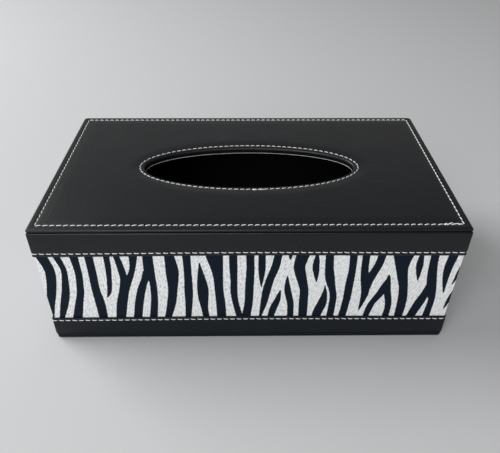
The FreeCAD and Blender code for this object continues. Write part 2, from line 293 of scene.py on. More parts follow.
class StageSettings(bpy.types.PropertyGroup):
    """Camera and light"""

    camera_place: FloatVectorProperty(
        name="Camera place",
        description="Where the camera stands",
        default=(-4.04 * MM, -302.85 * MM, 265.7 * MM),
        subtype="TRANSLATION",
        unit="LENGTH",
    )
    camera_turn: FloatVectorProperty(
        name="Camera turn",
        description="How the camera is turned",
        default=tuple(math.radians(a) for a in (52.906, -0.285, -0.695)),
        subtype="EULER",
    )
    camera_lens: number("Lens", "Focal length in millimetres", 38.03)
    camera_sensor: number("Sensor", "Sensor width in millimetres", 36.0)
    floor_reach: number("Floor reach", "Half width of the floor", 3.0, unit="LENGTH")
    sky: number("Sky", "Strength of the light from all round", 0.22)
    key_power: number("Key", "Power of the light from the left", 18.5, unit="POWER")
    back_power: number("Back", "Power of the white card behind", 1.7, unit="POWER")
    fill_power: number("Fill", "Power of the light in front", 16.0, unit="POWER")


def add_node(tree, kind, inputs=None, **settings):
    """Adds a node. An input is a value, a node that links its first output, or a node and its output."""
    node = tree.nodes.new(kind)
    for name, value in settings.items():
        setattr(node, name, value)
    for key, value in (inputs or {}).items():
        if isinstance(value, bpy.types.Node):
            value = (value, 0)
        if isinstance(value, tuple) and isinstance(value[0], bpy.types.Node):
            tree.links.new(value[0].outputs[value[1]], node.inputs[key])
        else:
            node.inputs[key].default_value = value
    return node


def rgba(colour):
    """An opaque colour, as a node takes it."""
    return (*colour, 1.0)


def leatherette(add, deep, worn, specular, dull, polished):
    # Polyurethane leatherette, calendered with a fine pebble: near black, with a wide soft sheen
    # that breaks up a little where the sheet is pulled over the board and where hands polish it.
    # The pebble is drawn about half as coarse again as it is, so that it shows.
    patch_width, pull_width, pebble_width = 45 * MM, 14 * MM, 1.5 * MM
    pull_depth, pebble_depth = 0.25 * MM, 0.12 * MM
    place = (add("ShaderNodeTexCoord"), "Object")
    patches = add("ShaderNodeTexNoise", {"Vector": place, "Scale": 1 / patch_width, "Detail": 4.0})
    tone = add("ShaderNodeMix", {0: patches, 6: rgba(deep), 7: rgba(worn)}, data_type="RGBA")
    sheen = {"Value": patches, "From Min": 0.3, "From Max": 0.7, "To Min": dull, "To Max": polished}
    gloss = add("ShaderNodeMapRange", sheen)
    pebble = add("ShaderNodeTexVoronoi", {"Vector": place, "Scale": 1 / pebble_width}, feature="SMOOTH_F1")
    grain = add("ShaderNodeBump", {"Height": pebble, "Distance": pebble_depth, "Strength": 0.7})
    pull = add("ShaderNodeTexNoise", {"Vector": place, "Scale": 1 / pull_width, "Detail": 2.0})
    relief = {"Height": pull, "Distance": pull_depth, "Strength": 0.5, "Normal": grain}
    look = {"Base Color": (tone, 2), "Roughness": gloss, "IOR": 1.5, "Specular IOR Level": specular}
    return add("ShaderNodeBsdfPrincipled", {**look, "Normal": add("ShaderNodeBump", relief)})


def black_leatherette(add, finishes):
    # The sheet of the top panel and the upper band, handled every day: the softest shine.
    tones = (finishes.leather, finishes.leather_worn)
    return leatherette(add, *tones, specular=0.36, dull=0.42, polished=0.35)


def low_shaded_leatherette(add, finishes):
    # The same sheet near the table: bluer in tone, and darker with less sheen. The lost sheen is painted
    # shade for the shade by the table.
    tones = (finishes.leather_low, finishes.leather_rubbed)
    return leatherette(add, *tones, specular=0.28, dull=0.52, polished=0.45)


def flap_shaded_leatherette(add, finishes):
    # The same sheet on the base flap by the table: the darkest, with hardly any sheen. The lost sheen is
    # painted shade for the shade on the flap's edge.
    tones = (finishes.leather_low, finishes.leather_rubbed)
    return leatherette(add, *tones, specular=0.2, dull=0.6, polished=0.52)


def zebra_leatherette(add, finishes, sizes):
    # White leatherette embossed with fine slanting lines, printed with navy black ink: the ink's edge
    # is crisp but follows the grain, and the ground shows faint slanting hollows. The lines are drawn
    # about twice as coarse as the real ones, so that they show.
    line_width, line_depth, wander_width = 0.52 * MM, 0.06 * MM, 1.6 * MM
    slant, stretch = math.radians(62), (5.0, 1.0, 1.0)
    stripe = (add("ShaderNodeAttribute", attribute_name="stripe"), "Fac")
    wall = (add("ShaderNodeAttribute", attribute_name="wall_place"), "Vector")
    turned = {"Vector": wall, "Rotation": (0, 0, slant), "Scale": stretch}
    slanted = add("ShaderNodeMapping", turned, vector_type="TEXTURE")
    lines = add("ShaderNodeTexNoise", {"Vector": slanted, "Scale": 1 / line_width, "Detail": 0.0})
    wander = add("ShaderNodeTexNoise", {"Vector": wall, "Scale": 1 / wander_width, "Detail": 1.0})
    waver = {0: wander, 1: sizes.edge_waver * 2, 2: -sizes.edge_waver}
    shift = add(MATH, waver, operation="MULTIPLY_ADD")
    edge = add(MATH, {0: stripe, 1: shift}, operation="ADD")
    blur = {"Value": edge, "From Min": -sizes.edge_blur, "From Max": sizes.edge_blur}
    bare = add("ShaderNodeMapRange", blur, interpolation_type="SMOOTHSTEP")
    hollows = add("ShaderNodeMapRange", {"Value": lines, "From Min": 0.3, "From Max": 0.55})
    whites = {0: hollows, 6: rgba(finishes.print_shade), 7: rgba(finishes.print_white)}
    ground = add("ShaderNodeMix", whites, data_type="RGBA")
    colour = add("ShaderNodeMix", {0: bare, 6: rgba(finishes.ink), 7: (ground, 2)}, data_type="RGBA")
    relief = add("ShaderNodeBump", {"Height": lines, "Distance": line_depth, "Strength": 0.5})
    look = {"Base Color": (colour, 2), "Roughness": 0.5, "Specular IOR Level": 0.12, "Normal": relief}
    return add("ShaderNodeBsdfPrincipled", look)


def white_thread(add, finishes):
    # Bonded polyester thread of twisted plies: off white, dull, darker in the turns between plies.
    ply_depth = 0.1 * MM
    ply = (add("ShaderNodeAttribute", attribute_name="ply"), "Fac")
    turn = add(MATH, {0: ply, 1: 2 * math.pi}, operation="MULTIPLY")
    wave = add(MATH, {0: turn}, operation="SINE")
    crest = add("ShaderNodeMapRange", {"Value": wave, "From Min": -1.0, "From Max": 0.4})
    whites = {0: crest, 6: rgba(finishes.thread_shade), 7: rgba(finishes.thread)}
    tone = add("ShaderNodeMix", whites, data_type="RGBA")
    relief = add("ShaderNodeBump", {"Height": crest, "Distance": ply_depth, "Strength": 0.4})
    look = {"Base Color": (tone, 2), "Roughness": 0.65, "IOR": 1.5, "Sheen Weight": 0.2, "Normal": relief}
    return add("ShaderNodeBsdfPrincipled", look)


def fibrous(add, dark, light, fibre, roughness, stretch=(1.0, 1.0, 1.0), depth=0.1 * MM):
    """Dull material of matted fibres or cells of one size."""
    place = (add("ShaderNodeTexCoord"), "Object")
    drawn = add("ShaderNodeMapping", {"Vector": place, "Scale": stretch})
    mat = add("ShaderNodeTexNoise", {"Vector": drawn, "Scale": 1 / fibre, "Detail": 5.0})
    spread = add("ShaderNodeMapRange", {"Value": mat, "From Min": 0.3, "From Max": 0.7})
    tone = add("ShaderNodeMix", {0: spread, 6: rgba(dark), 7: rgba(light)}, data_type="RGBA")
    relief = add("ShaderNodeBump", {"Height": mat, "Distance": depth, "Strength": 0.6})
    look = {"Base Color": (tone, 2), "Roughness": roughness, "Specular IOR Level": 0.2, "Normal": relief}
    return add("ShaderNodeBsdfPrincipled", look)


def black_flannel(add, finishes):
    # Brushed cotton flannel: a deep black nap that swallows the light inside the box.
    return fibrous(add, finishes.flannel, finishes.brushed_flannel_and_slot_shade, fibre=0.6 * MM, roughness=0.95)


def lining_backing(add, finishes):
    # Raw cut edge of the flannel's backing: a thin pale line of short fibres.
    return fibrous(add, finishes.backing_shade, finishes.backing, fibre=0.8 * MM, roughness=0.9)


def slot_shade_black(add, finishes):
    # Painted shade: a dead matt black on the upper band's faces deep in the slot under the panel, so that
    # the slot reads as a black line.
    return fibrous(add, finishes.flannel, finishes.brushed_flannel_and_slot_shade, fibre=0.4 * MM, roughness=0.95)


def fibreboard(add, finishes):
    # Medium density fibreboard, sawn: tan, dull, with short fibres along the sheet.
    tones, along = (finishes.board_shade, finishes.board), (0.3, 0.3, 1.0)
    return fibrous(add, *tones, fibre=1.2 * MM, roughness=0.85, stretch=along)


def padding_foam(add, finishes):
    # Open-cell polyurethane foam sheet: cream, dull, pitted by its cells.
    return fibrous(add, finishes.foam_shade, finishes.foam, fibre=0.7 * MM, roughness=0.9, depth=0.3 * MM)


def nickel_plate(add, finishes):
    # Nickel plate on a pressed magnet: a warm grey metal with a tumbled, slightly cloudy face.
    cloud_width = 2 * MM
    place = (add("ShaderNodeTexCoord"), "Object")
    cloud = add("ShaderNodeTexNoise", {"Vector": place, "Scale": 1 / cloud_width, "Detail": 3.0})
    gloss = add("ShaderNodeMapRange", {"Value": cloud, "To Min": 0.2, "To Max": 0.42})
    look = {"Base Color": rgba(finishes.nickel), "Metallic": 1.0, "Roughness": gloss}
    return add("ShaderNodeBsdfPrincipled", look)


def studio_floor(add, finishes):
    # Matt paper sweep: pale, even and without gloss.
    look = {"Base Color": rgba(finishes.floor), "Roughness": 0.9, "Specular IOR Level": 0.2}
    return add("ShaderNodeBsdfPrincipled", look)


def finish(maker, *settings):
    """Material named after its maker, which adds its nodes the first time that it is asked for."""
    title = maker.__name__.replace("_", " ").capitalize()
    material = bpy.data.materials.get(title)
    if material is None:
        material = bpy.data.materials.new(title)
        material.use_nodes = True
        material.node_tree.nodes.clear()
        add = partial(add_node, material.node_tree)
        shader = maker(add, bpy.context.scene.cover_finishes, *settings)
        add("ShaderNodeOutputMaterial", {"Surface": shader})
    return material


def smooth(share):
    """Soft step from 0 to 1."""
    share = min(max(share, 0.0), 1.0)
    return share * share * (3 - 2 * share)


def arc(centre, radius, start, end, steps, height=None):
    """Points of an arc in a plane, with its angles in degrees. Its height may differ from its radius."""
    rise = height or radius
    angles = [math.radians(start + (end - start) * i / steps) for i in range(steps + 1)]
    return [(centre[0] + radius * math.cos(a), centre[1] + rise * math.sin(a)) for a in angles]


def rounded(corners, steps=5):
    """Closed outline through corners (x, y, radius), each rounded by its radius."""
    straight = 1e-3
    outline = []
    for i, (x, y, radius) in enumerate(corners):
        corner = Vector((x, y))
        back = (Vector(corners[i - 1][:2]) - corner).normalized()
        onward = (Vector(corners[(i + 1) % len(corners)][:2]) - corner).normalized()
        opening = back.angle(onward)
        if radius <= 0 or math.pi - opening < straight:
            outline.append((x, y))
            continue
        run = radius / math.tan(opening / 2)
        start, end = corner + back * run, corner + onward * run
        for k in range(steps + 1):
            t = k / steps
            weight = math.cos((math.pi - opening) / 2)
            parts = ((1 - t) ** 2, 2 * t * (1 - t) * weight, t * t)
            point = (start * parts[0] + corner * parts[1] + end * parts[2]) / sum(parts)
            outline.append((point.x, point.y))
    return outline


def corner_arcs(inset, front_radius, back_radius, steps):
    """The plan's four round corners, anticlockwise from the back left one."""
    arcs = []
    for quarter, (side, end) in enumerate([(-1, 1), (-1, -1), (1, -1), (1, 1)]):
        radius = back_radius if end > 0 else front_radius
        centre = (side * (HALF_LENGTH - inset - radius), end * (HALF_DEPTH - inset - radius))
        arcs.append(arc(centre, radius, 90 * (quarter + 1), 90 * (quarter + 2), steps))
    return arcs


def plan_loop(inset, height, radius, spacing, corner_steps=6, back_radius=None):
    """Points round the cover's plan, set in from its outside, as many at every inset."""
    arcs = corner_arcs(inset, radius, back_radius or radius, corner_steps)
    counts = [round(2 * half / spacing) for half in (HALF_DEPTH, HALF_LENGTH)] * 2
    points = []
    for bend, following, count in zip(arcs, arcs[1:] + arcs[:1], counts):
        points += bend
        start, end = Vector(bend[-1]), Vector(following[0])
        points += [tuple(start.lerp(end, i / count)) for i in range(1, count)]
    return [(x, y, height) for x, y in points]


def mouth_loop(growth, height, plan, sizes):
    """Points round the mouth, grown outwards, one towards each point of the plan."""
    growth -= sizes.mouth_seam_inset + sizes.mouth_draw
    long, short = MOUTH_SEAM_LONG + growth, MOUTH_SEAM_SHORT + growth
    points = []
    for x, y, _ in plan:
        across = y - MOUTH_MIDDLE
        scale = 1 / math.hypot(x / long, across / short)
        points.append((x * scale, MOUTH_MIDDLE + across * scale, height))
    return points


def skin_over(name, loops, ring=True):
    """Mesh over loops of points, each joined to the next. A ring joins its ends, others are capped."""
    count = len(loops[0])
    faces = []
    for a in range(len(loops) if ring else len(loops) - 1):
        b = (a + 1) % len(loops)
        for i in range(count):
            j = (i + 1) % count
            faces.append((a * count + i, a * count + j, b * count + j, b * count + i))
    if not ring:
        faces.append(tuple(range(count)))
        faces.append(tuple(range((len(loops) - 1) * count, len(loops) * count)))
    mesh = bpy.data.meshes.new(name)
    mesh.from_pydata([point for loop in loops for point in loop], [], faces)
    return mesh


def joined(name, *meshes):
    """One mesh of several that have the same materials."""
    shape = bmesh.new()
    for mesh in meshes:
        shape.from_mesh(mesh)
    whole = bpy.data.meshes.new(name)
    shape.to_mesh(whole)
    shape.free()
    for material in meshes[0].materials:
        whole.materials.append(material)
    for mesh in meshes:
        bpy.data.meshes.remove(mesh)
    return whole


def outward(mesh):
    """Turns the faces of a closed mesh outwards."""
    shape = bmesh.new()
    shape.from_mesh(mesh)
    bmesh.ops.recalc_face_normals(shape, faces=shape.faces)
    shape.to_mesh(mesh)
    shape.free()


def place_piece(name, mesh, nodes, materials=(), body="box", sharp=40):
    """Makes a mesh a piece that rides on a body and stands for nodes of the packed model.

    Edges that turn by more than an angle in degrees stay sharp.
    """
    outward(mesh)
    mesh.name = name
    for material in materials:
        mesh.materials.append(material)
    mesh.shade_smooth()
    mesh.set_sharp_from_angle(angle=math.radians(sharp))
    piece = bpy.data.objects.new(name, mesh)
    bpy.context.scene.collection.objects.link(piece)
    if body:
        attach(piece, body)
    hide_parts(*nodes)
    return piece


def path_object(name, runs):
    """Curve object with one straight-run spline for each run of points, given as (points, closed)."""
    curve = bpy.data.curves.new(name, "CURVE")
    curve.dimensions = "3D"
    curve.twist_mode = "Z_UP"
    for points, closed in runs:
        spline = curve.splines.new("POLY")
        spline.points.add(len(points) - 1)
        for point, place in zip(spline.points, points):
            point.co = (*place, 1.0)
        spline.use_cyclic_u = closed
    path = bpy.data.objects.new(name, curve)
    bpy.context.scene.collection.objects.link(path)
    return path


def new_tree(name, **sockets):
    """Geometry node tree with named inputs of each kind, what adds its nodes, and its input node."""
    tree = bpy.data.node_groups.new(name, "GeometryNodeTree")
    for kind, names in sockets.items():
        for socket in names:
            tree.interface.new_socket(name=socket, in_out="INPUT", socket_type="NodeSocket" + kind)
    tree.interface.new_socket(name="Geometry", in_out="OUTPUT", socket_type="NodeSocketGeometry")
    add = partial(add_node, tree)
    return tree, add, add("NodeGroupInput")


def end_tree(add, mesh, material):
    """Ends a tree in real geometry of one material."""
    real = add("GeometryNodeRealizeInstances", {"Geometry": mesh})
    dressed = add("GeometryNodeSetMaterial", {"Geometry": real, "Material": material})
    add("NodeGroupOutput", {"Geometry": dressed})


def grow(name, tree, values, paths):
    """Mesh that a tree grows from its inputs. The paths that it followed are removed."""
    carrier = bpy.data.objects.new(name + "_carrier", bpy.data.meshes.new(name + "_carrier"))
    bpy.context.scene.collection.objects.link(carrier)
    modifier = carrier.modifiers.new("Grow", "NODES")
    modifier.node_group = tree
    for item in tree.interface.items_tree:
        if item.in_out == "INPUT":
            modifier[item.identifier] = values[item.name]
    graph = bpy.context.evaluated_depsgraph_get()
    grown = carrier.evaluated_get(graph)
    mesh = bpy.data.meshes.new_from_object(grown, preserve_all_data_layers=True, depsgraph=graph)
    carrier.modifiers.remove(modifier)
    for spare in (carrier, *paths):
        bpy.data.objects.remove(spare)
    if not mesh.polygons:
        raise RuntimeError(name + " came out empty")
    return mesh


def bow_nodes(add, entry):
    """Upward offset of a band and its seam: its sewn edge is pulled up between the corners."""
    place = add("ShaderNodeSeparateXYZ", {"Vector": add("GeometryNodeInputPosition")})
    angle = add(MATH, {0: (place, "X"), 1: math.pi / HALF_LENGTH}, operation="MULTIPLY")
    wave = add(MATH, {0: angle}, operation="COSINE")
    edges = {"Value": (place, "Z"), "From Min": (entry, "Still"), "From Max": (entry, "Sewn")}
    share = add("ShaderNodeMapRange", edges)
    pull = add(MATH, {0: share, 1: (entry, "Bow")}, operation="MULTIPLY")
    rise = add(MATH, {0: wave, 1: pull}, operation="MULTIPLY")
    return add("ShaderNodeCombineXYZ", {"Z": rise})


def band_bows(sizes):
    """Inputs that bow the upper and the lower band, each between its still and its sewn edge."""
    edges = ((UPPER_HIGH.z - sizes.band_drop, UPPER_LOW.z), (LOWER_LOW.z, LOWER_HIGH.z))
    return [{"Bow": sizes.band_bow, "Still": still, "Sewn": sewn} for still, sewn in edges]


def band_tree():
    """Tree that sweeps a band's section along the cover's plan."""
    tree, add, entry = new_tree(
        "Swept band", Object=["Path", "Section"], Float=["Bow", "Still", "Sewn"], Material=["Leatherette"]
    )
    path = add("GeometryNodeObjectInfo", {"Object": (entry, "Path")})
    section = add("GeometryNodeObjectInfo", {"Object": (entry, "Section")})
    sweep = {"Curve": (path, "Geometry"), "Profile Curve": (section, "Geometry"), "Fill Caps": True}
    swept = add("GeometryNodeCurveToMesh", sweep)
    pulled = add("GeometryNodeSetPosition", {"Geometry": swept, "Offset": bow_nodes(add, entry)})
    end_tree(add, pulled, (entry, "Leatherette"))
    return tree


def seam_tree():
    """Tree that lays a lockstitch seam along a path: each stitch is a short arched thread."""
    floats = ["Pitch", "Stitch share", "Thread width", "Slant", "Stray", "Rise", "Sink", "Twist"]
    floats += ["Bow", "Still", "Sewn"]
    others = {"Object": ["Path"], "Bool": ["Lies flat"], "Int": ["Seed"], "Material": ["Thread"]}
    tree, add, entry = new_tree("Lockstitch seam", Float=floats, **others)
    up = (0.0, 0.0, 1.0)
    # Edges of the path in one pitch, and sides of the thread
    cells, thread_sides = 16.0, 7
    # How flat a stitch's arch is, and how much thinner the thread is at its ends
    arch_power, taper_share = 4.0, 0.35
    # Share of the slant on the sides, and what is added along the front and taken off at the back
    side_share, heading_share = 0.35, 0.65

    # The path gets as many even edges as its stitches need
    path = add("GeometryNodeObjectInfo", {"Object": (entry, "Path")})
    run = add("GeometryNodeSplineLength")
    pitches = add(MATH, {0: run, 1: (entry, "Pitch")}, operation="DIVIDE")
    stitches = add(MATH, {0: pitches}, operation="ROUND")
    closed = add("GeometryNodeInputSplineCyclic")
    end_point = add(MATH, {0: 1.0, 1: closed}, operation="SUBTRACT")
    points = add(MATH, {0: stitches, 1: cells, 2: end_point}, operation="MULTIPLY_ADD")
    even = add("GeometryNodeResampleCurve", {"Curve": (path, "Geometry"), "Count": points}, mode="COUNT")

    # Direction away from the leather, noted before the path is cut into stitches
    tangent = add("GeometryNodeInputTangent")
    sideways = add(VECTOR_MATH, {0: tangent, 1: up}, operation="CROSS_PRODUCT")
    choice = {"Switch": (entry, "Lies flat"), "False": sideways, "True": up}
    outside = add("GeometryNodeSwitch", choice, input_type="VECTOR")
    noted = add("GeometryNodeCaptureAttribute", {"Geometry": even})
    noted.capture_items.new("VECTOR", "Away")
    tree.links.new(outside.outputs["Output"], noted.inputs["Away"])
    away = (noted, "Away")

    # The path's edges outside each stitch's share of the pitch are cut away
    edges = add("GeometryNodeCurveToMesh", {"Curve": noted})
    index = add("GeometryNodeInputIndex")
    cell = add(MATH, {0: index, 1: cells}, operation="MODULO")
    cell_middle = add(MATH, {0: cell, 1: 0.5}, operation="ADD")
    phase = add(MATH, {0: cell_middle, 1: cells}, operation="DIVIDE")
    from_middle = add(MATH, {0: phase, 1: 0.5}, operation="SUBTRACT")
    distance = add(MATH, {0: from_middle}, operation="ABSOLUTE")
    spread = add(MATH, {0: distance, 1: 2.0}, operation="MULTIPLY")
    gap = add(MATH, {0: spread, 1: (entry, "Stitch share")}, operation="GREATER_THAN")
    cut = add("GeometryNodeDeleteGeometry", {"Geometry": edges, "Selection": gap}, domain="EDGE")
    dashes = add("GeometryNodeMeshToCurve", {"Mesh": cut})

    # Each stitch arches over the leather and sinks into it at its ends
    along = add("GeometryNodeSplineParameter")
    swing = add(MATH, {0: along, 1: 2.0, 2: -1.0}, operation="MULTIPLY_ADD")
    swing_size = add(MATH, {0: swing}, operation="ABSOLUTE")
    ends = add(MATH, {0: swing_size, 1: arch_power}, operation="POWER")
    arch = add(MATH, {0: 1.0, 1: ends}, operation="SUBTRACT")
    arch_height = add(MATH, {0: arch, 1: (entry, "Rise")}, operation="MULTIPLY")
    height = add(MATH, {0: arch_height, 1: (entry, "Sink")}, operation="SUBTRACT")
    lifted = add(VECTOR_MATH, {0: away, "Scale": height}, operation="SCALE")

    # It slants across its seam and strays a little. The slant is full along the front, less on the
    # sides and turned at the back, as the sewing goes round.
    stitches_before = add(MATH, {0: index, 1: (run, "Point Count")}, operation="DIVIDE")
    stitch = add(MATH, {0: stitches_before}, operation="FLOOR")
    draw = add("FunctionNodeRandomValue", {2: -1.0, 3: 1.0, "ID": stitch, "Seed": (entry, "Seed")})
    heading = add("ShaderNodeSeparateXYZ", {"Vector": tangent})
    turn = add(MATH, {0: (heading, "X"), 1: heading_share, 2: side_share}, operation="MULTIPLY_ADD")
    slant = add(MATH, {0: (entry, "Slant"), 1: turn}, operation="MULTIPLY")
    lean = add(MATH, {0: (draw, 1), 1: (entry, "Stray"), 2: slant}, operation="MULTIPLY_ADD")
    lean_here = add(MATH, {0: swing, 1: lean}, operation="MULTIPLY")
    across = add(VECTOR_MATH, {0: away, 1: tangent}, operation="CROSS_PRODUCT")
    leaned = add(VECTOR_MATH, {0: across, "Scale": lean_here}, operation="SCALE")
    strayed = add(VECTOR_MATH, {0: lifted, 1: leaned}, operation="ADD")
    moved = add(VECTOR_MATH, {0: strayed, 1: bow_nodes(add, entry)}, operation="ADD")
    laid = add("GeometryNodeSetPosition", {"Geometry": dashes, "Offset": moved})

    # Thread round that line, thinner at the needle holes, with the turn of its plies noted
    centre = add("GeometryNodeInputPosition")
    core = add("GeometryNodeCaptureAttribute", {"Geometry": laid})
    for kind, name, source, output in (
        ("VECTOR", "Centre", centre, "Position"),
        ("VECTOR", "Across", across, "Vector"),
        ("FLOAT", "Along", along, "Length"),
    ):
        core.capture_items.new(kind, name)
        tree.links.new(source.outputs[output], core.inputs[name])
    radius = add(MATH, {0: (entry, "Thread width"), 1: 0.5}, operation="MULTIPLY")
    ring = add("GeometryNodeCurvePrimitiveCircle", {"Resolution": thread_sides, "Radius": radius})
    taper = add(MATH, {0: ends, 1: -taper_share, 2: 1.0}, operation="MULTIPLY_ADD")
    tube = {"Curve": core, "Profile Curve": ring, "Scale": taper, "Fill Caps": True}
    thread = add("GeometryNodeCurveToMesh", tube)
    offset = add(VECTOR_MATH, {0: centre, 1: (core, "Centre")}, operation="SUBTRACT")
    side = add(VECTOR_MATH, {0: offset, 1: (core, "Across")}, operation="DOT_PRODUCT")
    wound = add(MATH, {0: (core, "Along"), 1: (side, "Value")}, operation="ADD")
    ply = add(MATH, {0: wound, 1: (entry, "Twist")}, operation="DIVIDE")
    named = {"Geometry": thread, "Name": "ply", "Value": ply}
    plied = add("GeometryNodeStoreNamedAttribute", named, data_type="FLOAT", domain="POINT")
    end_tree(add, plied, (entry, "Thread"))
    return tree


def groove(distance, sizes):
    """How far a seam draws the leather down, at a distance from it."""
    return sizes.groove_depth * math.exp(-((distance / sizes.groove_width) ** 2))


def border_height(inset, sizes):
    """Height of the panel's leather at an inset from its edge."""
    from_seam = inset - TOP_SEAM_INSET - sizes.top_seam_shift
    return TOP + sizes.crown * smooth(from_seam / sizes.crown_reach) - groove(from_seam, sizes)


def collar_height(growth, sizes):
    """Height of the panel's leather at a distance from the mouth."""
    from_seam = growth - sizes.mouth_seam_inset
    swell = sizes.crown * smooth(from_seam / sizes.crown_reach)
    sag = sizes.mouth_sag * (1 - smooth(growth / sizes.sag_reach))
    return TOP + swell - sag - groove(from_seam, sizes)


def steps_between(start, end, spacing):
    """Evenly spaced places from start to end."""
    count = max(1, round(abs(end - start) / spacing))
    return [start + (end - start) * i / count for i in range(count + 1)]


class TISSUE_OT_top_panel(bpy.types.Operator):
    """Make the top panel's leather, its padding sheet and the lining that edges the mouth"""

    bl_idname = "tissue_cover.top_panel"
    bl_label = "Top panel"

    def execute(self, context):
        sizes = context.scene.cover_sizes
        # Spacing of points round the panel, over its edges and down the mouth, and rows between the edges
        spacing, fine, wall_spacing, rows = 2.0 * MM, 0.4 * MM, 0.8 * MM, 18
        border = TOP_SEAM_INSET + sizes.crown_reach - sizes.panel_inset
        collar = sizes.sag_reach
        edge, under, roll = sizes.panel_edge_width, sizes.panel_under_radius, sizes.mouth_roll_radius
        low = PANEL_LOW + sizes.panel_rise
        fold = low + sizes.fold
        shoulder = low + under

        def on_plan(inset, height):
            corners = (sizes.panel_corner, sizes.panel_back_corner)
            front, back = (max(corner - inset, sizes.tight_radius) for corner in corners)
            return plan_loop(sizes.panel_inset + inset, height, front, spacing, back_radius=back)

        plan = on_plan(border, TOP)

        def on_mouth(growth, height):
            return mouth_loop(growth, height, plan, sizes)

        # Section of the leather, from its turned edge to its roll into the mouth and back underneath
        tucked = BOARD_FACE - sizes.panel_inset
        turned = [(tucked, low)]
        turned += arc((under, shoulder), under, 270, 180, steps=5)
        turned += arc((edge, shoulder), edge, 180, 90, steps=12, height=TOP - shoulder)[1:-1]
        for inset in steps_between(edge, border, fine):
            turned.append((inset, border_height(inset + sizes.panel_inset, sizes)))
        lip = collar_height(roll, sizes)
        rolled = [(g, collar_height(g, sizes)) for g in steps_between(collar, roll, fine)]
        rolled += arc((roll, lip - roll), roll, 90, 180, steps=8)[1:]
        rolled += [(0, height) for height in steps_between(lip - roll, TOP_LOW.z, wall_spacing)[1:]]
        under_mouth = [(sizes.skin, lip - sizes.skin), (collar, collar_height(collar, sizes) - sizes.skin)]
        under_edge = [(border, turned[-1][1] - sizes.skin), (sizes.skin, TOP - sizes.skin)]
        tuck = [(sizes.skin, fold), (tucked, fold)]

        loops = [on_plan(*place) for place in turned]
        start, end = on_plan(border, turned[-1][1]), on_mouth(collar, rolled[0][1])
        for row in range(1, rows):
            loops.append([tuple(Vector(p).lerp(Vector(q), row / rows)) for p, q in zip(start, end)])
        loops += [on_mouth(*place) for place in rolled]
        loops += [on_mouth(sizes.skin, TOP_LOW.z)] + [on_mouth(*place) for place in under_mouth]
        loops += [on_plan(*place) for place in under_edge + tuck]
        leather = skin_over("top_panel_leather", loops)
        finishes = [finish(black_leatherette)]
        place_piece("top_panel_leather", leather, ["top_cover"], finishes)

        # The padding fills what is left between the leather and the board
        padding = [on_plan(*place) for place in [(tucked, PANEL_LOW)] + tuck[::-1]]
        padding += [on_plan(*place) for place in reversed(under_edge)]
        padding += [on_mouth(*place) for place in reversed(under_mouth)]
        padding += [on_mouth(sizes.skin, PANEL_LOW)]
        foam = skin_over("top_padding_sheet", padding)
        pad = place_piece("top_padding_sheet", foam, ["top_foam"], [finish(padding_foam)])

        # The lining's pale cut edge stands a little way into the mouth
        inset = HALF_LENGTH - LINING_HIGH.x - sizes.panel_inset
        rim = -sizes.lining_lip
        sheet = [on_plan(inset, LINING_HIGH.z), on_mouth(rim, LINING_HIGH.z)]
        sheet += [on_mouth(rim, LINING_HIGH.z - sizes.lining_edge), on_mouth(-rim, LINING_LOW.z)]
        sheet += [on_plan(inset, LINING_LOW.z)]
        lining = skin_over("mouth_lining_sheet", sheet)
        cut_edge = range(len(plan), 2 * len(plan))
        for face in cut_edge:
            lining.polygons[face].material_index = 1
        finishes = [finish(black_flannel), finish(lining_backing)]
        cloth = place_piece("mouth_lining_sheet", lining, ["top_lining"], finishes)
        return {"FINISHED"}


